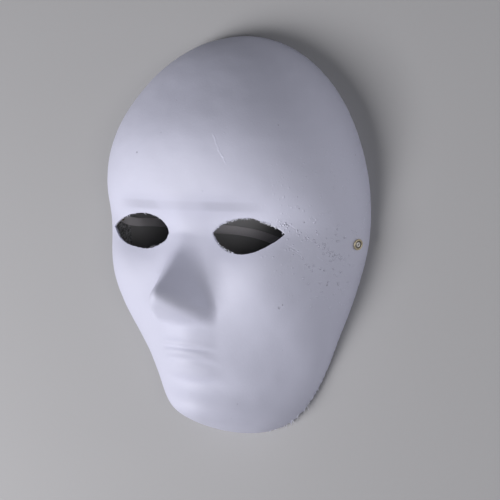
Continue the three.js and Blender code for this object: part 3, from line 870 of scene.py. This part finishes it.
def ribbon_section(width, thickness, ribs):
    """Flat closed section: x is half the width times a cosine, and the two faces are a
    flattened ellipse to the sixth power, furrowed between the ribs."""
    turn = full_turn(SECTION_POINTS)
    across = width / 2.0 * np.cos(turn)
    share = 2.0 * across / width
    fullness = np.sqrt(np.clip(1.0 - share**6, 0.0, 1.0))
    furrow = 0.5 + 0.5 * np.cos(math.pi * ribs * (share + 1.0))
    furrow = furrow * (np.abs(share) < FURROWED_SHARE)
    lift = thickness / 2.0 * fullness * (1.0 - FURROW_DEPTH * furrow)
    return across, np.where(turn < math.pi, lift, -lift)


def strap_piece(settings):
    """The section carried along the route. Its broad side faces up on the floor and turns
    to lie along the wall as it climbs to each rivet."""
    middle, length = even_steps(smooth_route(STRAP_ROUTE, SPAN_SAMPLES), STRAP_STEPS)
    along = unit(np.gradient(middle, axis=0))
    left, right = (rivet_frame(*place) for place in RIVET_PLACES.values())
    on_left = middle[:, 0] > 0.0
    axis = np.where(on_left[:, None], left[1], right[1])
    rivet_z = np.where(on_left, left[0][2], right[0][2])
    climb = (middle[:, 2] - STRAP_FLOOR_Z) / (STRAP_WALL_SHARE * (rivet_z - STRAP_FLOOR_Z))
    broad = lerp(np.array([0.0, 0.0, 1.0]), -axis, np.clip(climb, 0.0, 1.0)[:, None])
    sideways = unit(np.cross(broad, along))
    inward = np.cross(along, sideways)
    across, lift = ribbon_section(settings.width, settings.thickness, settings.ribs)
    rows = (middle[:, None] + sideways[:, None] * across[None, :, None]
            + inward[:, None] * lift[None, :, None])
    piece = tube_piece("elastic_band", rows, middle[[0, -1]])

    reached = np.linspace(0.0, length, STRAP_STEPS)
    lengthwise = np.concatenate([np.repeat(reached, len(across)), [0.0, length]])
    crosswise = np.concatenate([np.tile(across, STRAP_STEPS), [0.0, 0.0]])
    corner_ids = np.empty(len(piece.data.loops), np.int32)
    piece.data.loops.foreach_get("vertex_index", corner_ids)
    weave = np.column_stack([lengthwise, crosswise])[corner_ids]
    weave_map = piece.data.uv_layers.new(name="weave")
    weave_map.data.foreach_set("uv", weave.astype(np.float32).ravel())
    return piece, middle, length


# The rivets


def rivet_profile(head):
    """Radius and height from the middle of the outer head round to the rolled end inside:
    a button with a dimple, a groove, a half-round ring, the shank and the inner flange."""
    top, end = RIVET_HEAD, RIVET_END
    share = np.linspace(0.0, 1.0, HEAD_ROWS)
    ring = np.sqrt(np.clip(1.0 - ((share - top["ring"]) / top["ring_reach"]) ** 2, 0.0, 1.0))
    button = np.sqrt(np.clip(1.0 - (share / top["button"]) ** 4, 0.0, 1.0))
    height = (top["groove_z"] + top["ring_rise"] * ring + top["button_rise"] * button
              - top["dimple_depth"] * bell(share, top["dimple"]))
    height = np.where(share > top["lip"], top["lip_z"], height)
    shank = [(head, top["under_z"]), (end["shank"], top["under_z"]), (end["shank"], end["start_z"])]
    turn = np.linspace(0.0, math.pi, ROLL_ROWS)
    rolled_r = end["roll_start"] + end["roll_reach"] * np.sin(turn)
    rolled_z = end["z"] + end["roll_middle"] - end["roll_rise"] * np.cos(turn)
    mouth = [(end["mouth"], end["z"] + end["mouth_rise"]), (0.0, end["z"] + end["pit_rise"])]
    profile = np.vstack([np.column_stack([share * head, height]), shank,
                         np.column_stack([rolled_r, rolled_z]), mouth])
    return profile.T


def rivet_piece(name, side, y, z, head):
    """The profile turned about the rivet's axis, standing on the wall."""
    place, axis = rivet_frame(side, y, z)
    radius, heights = rivet_profile(head)
    turn = full_turn(RIVET_SIDES)[:, None]
    first_way = unit(np.cross(axis, np.array([0.0, 1.0, 0.0])))
    second_way = np.cross(axis, first_way)
    around_axis = np.cos(turn) * first_way + np.sin(turn) * second_way
    inner = slice(1, -1)
    rows = (place + radius[inner, None, None] * around_axis[None]
            + heights[inner, None, None] * axis)
    piece = tube_piece(name, rows, place + heights[[0, -1], None] * axis)
    reach = np.repeat(radius[inner] / head, RIVET_SIDES)
    add_attribute(piece, "reach", np.concatenate([reach, [0.0, 0.0]]))
    return piece


# Materials


class Number:
    """A socket that carries a number: Python's operators on it add Math nodes."""

    def __init__(self, board, socket):
        self.board = board
        self.socket = socket

    def __add__(self, other):
        return self.board.maths("ADD", self, other)

    def __sub__(self, other):
        return self.board.maths("SUBTRACT", self, other)

    def __rsub__(self, other):
        return self.board.maths("SUBTRACT", other, self)

    def __mul__(self, other):
        return self.board.maths("MULTIPLY", self, other)

    def __truediv__(self, other):
        return self.board.maths("DIVIDE", self, other)

    __radd__ = __add__
    __rmul__ = __mul__

    def ramp(self, start, end):
        """0 at start, 1 at end, eased at both ends."""
        settings = {"interpolation_type": "SMOOTHSTEP"}
        sockets = {"Value": self, "From Min": start, "From Max": end}
        return self.board.number("MapRange", settings, sockets)


class Board:
    """The nodes of one material."""

    def __init__(self, name):
        self.material = bpy.data.materials.new(name)
        self.material.use_nodes = True
        self.nodes = self.material.node_tree.nodes
        self.links = self.material.node_tree.links
        self.nodes.clear()

    def node(self, kind, settings=None, sockets=None):
        """Adds a node: its settings first, then a value or a link for each socket."""
        made = self.nodes.new("ShaderNode" + kind)
        made.location = (220 * (len(self.nodes) % 9), -260 * (len(self.nodes) // 9))
        for key, value in (settings or {}).items():
            setattr(made, key, value)
        for key, value in (sockets or {}).items():
            source = value.socket if isinstance(value, Number) else value
            if isinstance(source, bpy.types.NodeSocket):
                self.links.new(source, made.inputs[key])
            else:
                made.inputs[key].default_value = source
        return made

    def number(self, kind, settings=None, sockets=None, output=0):
        return Number(self, self.node(kind, settings, sockets).outputs[output])

    def maths(self, operation, first, second=0.0):
        return self.number("Math", {"operation": operation}, {0: first, 1: second})

    def vector(self, operation, first, second, output="Vector"):
        made = self.node("VectorMath", {"operation": operation}, {0: first, 1: second})
        return made.outputs[output]

    def mix(self, share, first, second):
        """A colour between two colours."""
        made = self.node("Mix", {"data_type": "RGBA"}, {0: share, 6: first, 7: second})
        return made.outputs[2]

    def noise(self, place, scale, detail=2.0, roughness=0.5):
        sockets = {"Vector": place, "Scale": scale, "Detail": detail, "Roughness": roughness}
        return self.number("TexNoise", None, sockets)

    def attribute(self, name):
        return self.number("Attribute", {"attribute_name": name}, None, "Fac")

    def place(self):
        return self.node("TexCoord").outputs["Object"]

    def along(self, place, way, middle=(0.0, 0.0, 0.0)):
        """How far a place is from the middle, measured along a direction."""
        offset = self.vector("SUBTRACT", place, middle)
        return Number(self, self.vector("DOT_PRODUCT", offset, way, "Value"))

    def distance(self, place, middle):
        return Number(self, self.vector("DISTANCE", place, middle, "Value"))

    def surface(self, colour, height, distance, sockets):
        """Ends the tree: a principled surface whose relief comes from a height."""
        bump = self.node("Bump", None, {"Height": height, "Distance": distance, "Strength": 1.0})
        sockets = {"Base Color": colour, "Normal": bump.outputs["Normal"], **sockets}
        shader = self.node("BsdfPrincipled", None, sockets)
        self.node("OutputMaterial", None, {"Surface": shader.outputs["BSDF"]})
        return self.material


def colour4(colour, shade=1.0):
    return tuple(channel * shade for channel in colour) + (1.0,)


def spots(board, place, scale, radius, kept, salt):
    """Scattered round spots: near a Voronoi cell's point, and only in a kept share of cells."""
    moved = board.vector("ADD", place, (salt, 0.37 * salt, 0.71 * salt))
    cells = board.node("TexVoronoi", None, {"Vector": moved, "Scale": scale})
    near = Number(board, cells.outputs["Distance"]).ramp(radius * scale, 0.35 * radius * scale)
    split = board.node("SeparateColor", None, {"Color": cells.outputs["Color"]})
    return near * Number(board, split.outputs["Red"]).ramp(kept + 0.02, kept - 0.02)


def side_marks(board, place):
    """Marks on the wearer's left side. Noise stretched along a line down the wall from the
    temple scratches it, and fades out round the line's middle. Bumps crowd on a trail
    along the scratches, and lie more loosely over the cheek's side, with sunken spots and
    streaks. The raised spots are also lightened as painted highlights, and the sunken spots
    darkened as painted shade, where painted_pulp mixes the colour."""
    run = board.along(place, SCRATCH_WAY, SCRATCH_MIDDLE)
    over = board.along(place, SCRATCH_ACROSS, SCRATCH_MIDDLE)
    stretched = board.node("CombineXYZ", None, {"X": run * 55.0, "Y": over * 620.0})
    lines = board.noise(stretched.outputs["Vector"], 1.0, 1.0).ramp(0.60, 0.70)
    about = run * run / 0.00042 + over * over / 0.00022
    scratches = lines * about.ramp(1.0, 0.35)

    weave = (board.noise(place, 130.0) - 0.5) * 0.004
    on_trail = board.maths("ABSOLUTE", over + weave).ramp(0.0022, 0.0012)
    on_trail = on_trail * board.maths("ABSOLUTE", run).ramp(0.026, 0.020)
    loose = board.distance(place, CHEEK_BUMPS).ramp(0.026, 0.012)
    strewn = board.distance(place, SIDE_BUMPS).ramp(0.070, 0.035)
    blobs = (spots(board, place, 540.0, 0.00075, 0.85, 3.7)
             + spots(board, place, 610.0, 0.00070, 0.60, 5.2))
    crumbs = spots(board, place, 400.0, 0.00070, 0.60, 6.3)
    # The bumps are raised, and painted_pulp also lightens them as painted highlights
    bumps_and_highlights = (blobs * on_trail + crumbs * loose * 0.8 + crumbs * strewn * 0.35
             + spots(board, place, 170.0, 0.00085, 0.40, 9.1) * strewn * 0.7)
    # Sunken pits, which painted_pulp also darkens as painted shade
    pits_and_shade = spots(board, place, 140.0, 0.00050, 0.30, 4.4) * strewn
    drawn_out = board.node("Mapping", {"vector_type": "POINT"},
                           {"Vector": place, "Scale": (900.0, 22.0, 500.0)})
    streaks = board.noise(drawn_out.outputs["Vector"], 1.0, 2.0) * strewn
    return scratches, bumps_and_highlights, pits_and_shade, streaks


def forehead_crease(board, place):
    """A thin line about 22 mm long, wandering a little and broken here and there."""
    wander = (board.noise(place, 160.0) - 0.5) * 0.0022
    off_line = board.along(place, CREASE_ACROSS, CREASE_MIDDLE) + wander
    on_line = board.along(place, CREASE_WAY, CREASE_MIDDLE)
    crease = (off_line * off_line).ramp(0.00000030, 0.0)
    crease = crease * (on_line * on_line).ramp(0.000125, 0.00006)
    return crease * (0.35 + 0.65 * board.noise(place, 420.0).ramp(0.40, 0.60))


def dark_marks(board, place):
    """Soft round marks on the outer face."""
    middles = [(x, y, float(face_height(np.array(x), np.array(y)))) for x, y, _ in DARK_MARKS]
    return sum(board.distance(place, middle).ramp(radius, 0.3 * radius)
               for middle, (_, _, radius) in zip(middles, DARK_MARKS))


def painted_brow_shade(board, place):
    """A soft band of painted shade along the fold under the brow, fainter over the nose."""
    off_fold = board.along(place, (0.0, 1.0, 0.0), (0.0, PAINTED_BROW_SHADE_Y, 0.0))
    sideways = board.along(place, (1.0, 0.0, 0.0))
    sideways = sideways * sideways
    fold = (off_fold * off_fold).ramp(0.000013, 0.0) * sideways.ramp(0.0032, 0.0010)
    return fold * (0.45 + 0.55 * sideways.ramp(0.00015, 0.00045))


def painted_pulp(settings):
    """Matte paint over moulded pulp. Slow noise mottles the paint, fast noise grains it,
    scattered spots are sunken, and darkened as painted shade, or raised grains, and marks
    of their own lie on the side, the forehead and the brow. On the side the raised spots are
    lightened as painted highlights and the sunken ones darkened as painted shade, a band of
    painted shade lies along the brow's fold, and bare pulp shows inside."""
    board = Board("painted_pulp")
    place = board.place()
    mottle = board.noise(place, 38.0, 3.0)
    cloud = board.noise(place, 150.0, 4.0, 0.6)
    grain = board.noise(place, 900.0, 5.0, 0.65)
    patchy = board.noise(place, 30.0).ramp(0.42, 0.62)
    # Sunken pits, also darkened as painted shade in the colour below
    pits_and_shade = spots(board, place, 120.0, 0.00050, 0.25, 0.0) * (0.15 + 0.6 * patchy)
    grains = spots(board, place, 150.0, 0.00045, 0.32, 3.1) * (0.2 + 0.8 * patchy)
    scratches, bumps_and_highlights, side_pits_and_shade, streaks = side_marks(board, place)
    crease = forehead_crease(board, place)
    marks = dark_marks(board, place) * cloud.ramp(0.35, 0.55)
    edge = board.attribute("edge")
    bare = (board.attribute("bare") + (cloud - 0.5) * 0.4).ramp(0.45, 0.60)
    fibrous = board.noise(place, 620.0, 5.0, 0.7)

    def shaded(factor):
        return colour4(settings.paint, factor)

    shade = (mottle - 0.5) * 0.10 + (cloud - 0.5) * 0.08
    paint = board.mix(shade + 0.5, shaded(0.88), shaded(1.06))
    # Painted shade in the pits, and the dark marks
    paint = board.mix(pits_and_shade * 0.45 + side_pits_and_shade * 0.45 + marks * 0.6, paint, shaded(0.42))
    # Lighter along the crease and the scratches, and painted highlights on the bumps
    paint = board.mix(crease * 0.6 + scratches * 0.25 + bumps_and_highlights * 0.8, paint, shaded(1.27))
    # Painted shade in a band along the fold under the brow
    paint = board.mix(painted_brow_shade(board, place) * 0.46, paint, shaded(0.68))
    paint = board.mix(edge * cloud.ramp(0.35, 0.65) * 0.5, paint, shaded(1.12))
    dark, light = colour4(settings.pulp, 0.35), colour4(settings.pulp, 1.5)
    colour = board.mix(bare, paint, board.mix(fibrous.ramp(0.34, 0.66), dark, light))

    height = (cloud * 0.10 + grain * 0.05 + grains * 0.22 - pits_and_shade * 0.30
              + bumps_and_highlights * 0.48 - marks * 0.25 - side_pits_and_shade * 0.40 + streaks * 0.05
              + crease * 0.12 - scratches * 0.10 + bare * fibrous * 0.5
              + edge * grain * 0.15)
    roughness = settings.roughness + (mottle - 0.5) * 0.08 + bare * 0.25
    return board.surface(colour, height, 0.001, {"Roughness": roughness})


def woven_elastic(settings):
    """Ribbed elastic on its own map: u runs along the strap in metres and v across. Fine
    cross threads go over the ribs, half a step apart from rib to rib."""
    board = Board("woven_elastic")
    weave = board.node("UVMap", {"uv_map": "weave"})
    split = board.node("SeparateXYZ", None, {"Vector": weave.outputs["UV"]})
    lengthwise, crosswise = (Number(board, split.outputs[axis]) for axis in ("X", "Y"))
    rib = crosswise * (settings.ribs / settings.width)
    step = board.maths("ROUND", rib) * 0.5
    threads = board.maths("SINE", (lengthwise * CROSS_THREADS + step) * (2.0 * math.pi))
    fuzz = board.noise(board.place(), 2600.0, 3.0, 0.6)
    shade = threads * 0.18 + fuzz * 0.7 + 0.15
    colour = board.mix(shade, colour4(settings.colour, 0.80), colour4(settings.colour, 1.03))
    height = threads * 0.04 + fuzz * 0.05
    return board.surface(colour, height, 0.001, {"Roughness": 0.85})


def rivet_metal(settings):
    """Pressed plate: a warm ring, a groove and a paler button with a dimple, told apart by
    the distance from the axis, with dull stains. The groove and the dimple are darkened
    almost to black as painted shade."""
    board = Board("rivet_metal")
    reach = board.attribute("reach")
    stain = board.noise(board.place(), 1500.0, 4.0, 0.6)
    warm = board.mix(stain, colour4(settings.ring, 0.65), colour4(settings.ring, 1.15))
    pale = board.mix(stain, colour4(settings.button, 0.8), colour4(settings.button, 1.2))
    metal = board.mix(reach.ramp(0.52, 0.62), pale, warm)
    # Painted shade: the groove and the dimple are darkened almost to black
    groove = reach.ramp(0.42, 0.48) * reach.ramp(0.70, 0.62)
    dimple = reach.ramp(0.20, 0.10)
    dark = board.maths("MAXIMUM", groove, dimple)
    # The painted shade of the groove and the dimple, over the metal
    colour = board.mix(dark * 0.85, metal, (0.05, 0.045, 0.04, 1.0))
    sockets = {"Metallic": 0.65 - dark * 0.3, "Roughness": 0.32 + stain * 0.2 + dark * 0.2}
    return board.surface(colour, stain * 0.03, 0.001, sockets)


def plain_floor(settings):
    """Even matte card."""
    board = Board("studio_floor")
    fleck = board.noise(board.place(), 400.0)
    colour = board.mix(fleck, colour4(settings.floor, 0.99), colour4(settings.floor, 1.01))
    return board.surface(colour, fleck, 0.00002, {"Roughness": 0.9})


# The operators, in the order in which they run


class PAPERMASK_OT_camera(Operator):
    """Places the camera over the mask, turned to the wearer's left"""

    bl_idname = "papermask.place_camera"
    bl_label = "Place camera"

    def execute(self, context):
        settings = context.scene.mask_studio_settings
        yaw, pitch, roll = settings.yaw, settings.pitch, settings.roll
        flat = math.cos(pitch)
        back = Vector((math.sin(yaw) * flat, math.sin(pitch), math.cos(yaw) * flat))
        level = Vector((math.cos(yaw), 0.0, -math.sin(yaw)))
        upright = back.cross(level)
        right = level * math.cos(roll) + upright * math.sin(roll)
        up = upright * math.cos(roll) - level * math.sin(roll)
        place = back * settings.distance
        aim = right * settings.aim_right - up * settings.aim_down
        z_axis = (place - aim).normalized()
        x_axis = up.cross(z_axis).normalized()
        y_axis = z_axis.cross(x_axis)
        turn = Matrix((x_axis, y_axis, z_axis)).transposed().to_4x4()
        lens = bpy.data.cameras.new("studio_camera")
        lens.sensor_width = SENSOR
        lens.lens = settings.focal_pixels / IMAGE_SIZE * SENSOR
        camera = bpy.data.objects.new("studio_camera", lens)
        camera.matrix_world = Matrix.Translation(place) @ turn
        context.scene.collection.objects.link(camera)
        context.scene.camera = camera
        return {"FINISHED"}


class PAPERMASK_OT_strap(Operator):
    """Lays the flat elastic strap from rivet to rivet"""

    bl_idname = "papermask.make_strap"
    bl_label = "Make strap"

    def execute(self, context):
        settings = context.scene.mask_strap_settings
        piece, middle, length = strap_piece(settings)
        finish_piece(piece, woven_elastic(settings), "elastic", "elastic_strap")
        return {"FINISHED"}


class PAPERMASK_OT_shell(Operator):
    """Makes the painted pulp wall with its face"""

    bl_idname = "papermask.make_shell"
    bl_label = "Make wall"

    def execute(self, context):
        settings = context.scene.mask_shell_settings
        finish_piece(shell_piece(settings), painted_pulp(settings), "painted_pulp", "mask_shell")
        return {"FINISHED"}


class PAPERMASK_OT_fibres(Operator):
    """Makes the torn fibres and flakes on the rim and on the eyes' edges"""

    bl_idname = "papermask.make_fibres"
    bl_label = "Make fibres"

    def execute(self, context):
        settings = context.scene.mask_shell_settings
        piece = torn_fibres(settings)
        add_attribute(piece, "bare", np.zeros(len(piece.data.vertices)))
        add_attribute(piece, "edge", np.ones(len(piece.data.vertices)))
        finish_piece(piece, bpy.data.materials["painted_pulp"], "painted_pulp")
        return {"FINISHED"}


class PAPERMASK_OT_rivets(Operator):
    """Makes the two rivets that hold the strap"""

    bl_idname = "papermask.make_rivets"
    bl_label = "Make rivets"

    def execute(self, context):
        settings = context.scene.mask_rivet_settings
        metal = rivet_metal(settings)
        for node, place in RIVET_PLACES.items():
            piece = rivet_piece(node.replace("rivet", "strap_rivet"), *place, settings.head)
            finish_piece(piece, metal, "rivet_metal", node)
        return {"FINISHED"}


class PAPERMASK_OT_studio(Operator):
    """Makes the floor, the soft lights and the even light of the room"""

    bl_idname = "papermask.make_studio"
    bl_label = "Make studio"

    def execute(self, context):
        settings = context.scene.mask_studio_settings
        corners = FLOOR_HALF * np.array([[-1, -1, 0], [1, -1, 0], [1, 1, 0], [-1, 1, 0]])
        floor = new_mesh("studio_floor", corners, np.array([[0, 1, 2, 3]]))
        floor.data.materials.append(plain_floor(settings))
        for name, (place, aim, size, share) in LIGHTS.items():
            add_area_light(name, place, aim, size, share * settings.key_power)
        world = bpy.data.worlds.new("studio_room")
        world.use_nodes = True
        room = world.node_tree.nodes["Background"]
        room.inputs["Color"].default_value = ROOM_COLOUR
        room.inputs["Strength"].default_value = settings.fill
        context.scene.world = world
        context.scene.view_settings.view_transform = "Standard"
        return {"FINISHED"}


def add_area_light(name, place, aim, size, power):
    """A square soft light at a place, turned to its aim."""
    light = bpy.data.lights.new(name, "AREA")
    light.size = size
    light.energy = power
    light.color = LIGHT_COLOUR
    lamp = bpy.data.objects.new(name, light)
    way = Vector(aim) - Vector(place)
    turn = way.to_track_quat("-Z", "Y").to_matrix().to_4x4()
    lamp.matrix_world = Matrix.Translation(place) @ turn
    bpy.context.scene.collection.objects.link(lamp)


OPERATORS = (
    PAPERMASK_OT_camera, PAPERMASK_OT_strap, PAPERMASK_OT_shell, PAPERMASK_OT_fibres,
    PAPERMASK_OT_rivets, PAPERMASK_OT_studio,
)


class PAPERMASK_PT_sidebar(Panel):
    """Lists the mask's sizes, its colours and the steps that make it"""

    bl_idname = "PAPERMASK_PT_sidebar"
    bl_label = "Paper Mask"
    bl_space_type = "VIEW_3D"
    bl_region_type = "UI"
    bl_category = "Paper Mask"

    def draw(self, context):
        for name, group in SETTINGS.items():
            box = self.layout.box()
            for key in group.__annotations__:
                box.prop(getattr(context.scene, name), key)
        for operator in OPERATORS:
            self.layout.operator(operator.bl_idname)


def register():
    for group in SETTINGS.values():
        bpy.utils.register_class(group)
    for name, group in SETTINGS.items():
        setattr(bpy.types.Scene, name, PointerProperty(type=group))
    for shown in (*OPERATORS, PAPERMASK_PT_sidebar):
        bpy.utils.register_class(shown)


def unregister():
    for shown in reversed((*OPERATORS, PAPERMASK_PT_sidebar)):
        bpy.utils.unregister_class(shown)
    for name in SETTINGS:
        delattr(bpy.types.Scene, name)
    for group in reversed(SETTINGS.values()):
        bpy.utils.unregister_class(group)


def main():
    register()
    bpy.ops.papermask.place_camera()
    bpy.ops.papermask.make_strap()
    bpy.ops.papermask.make_shell()
    bpy.ops.papermask.make_fibres()
    bpy.ops.papermask.make_rivets()
    bpy.ops.papermask.make_studio()


if __name__ == "__main__":
    main()
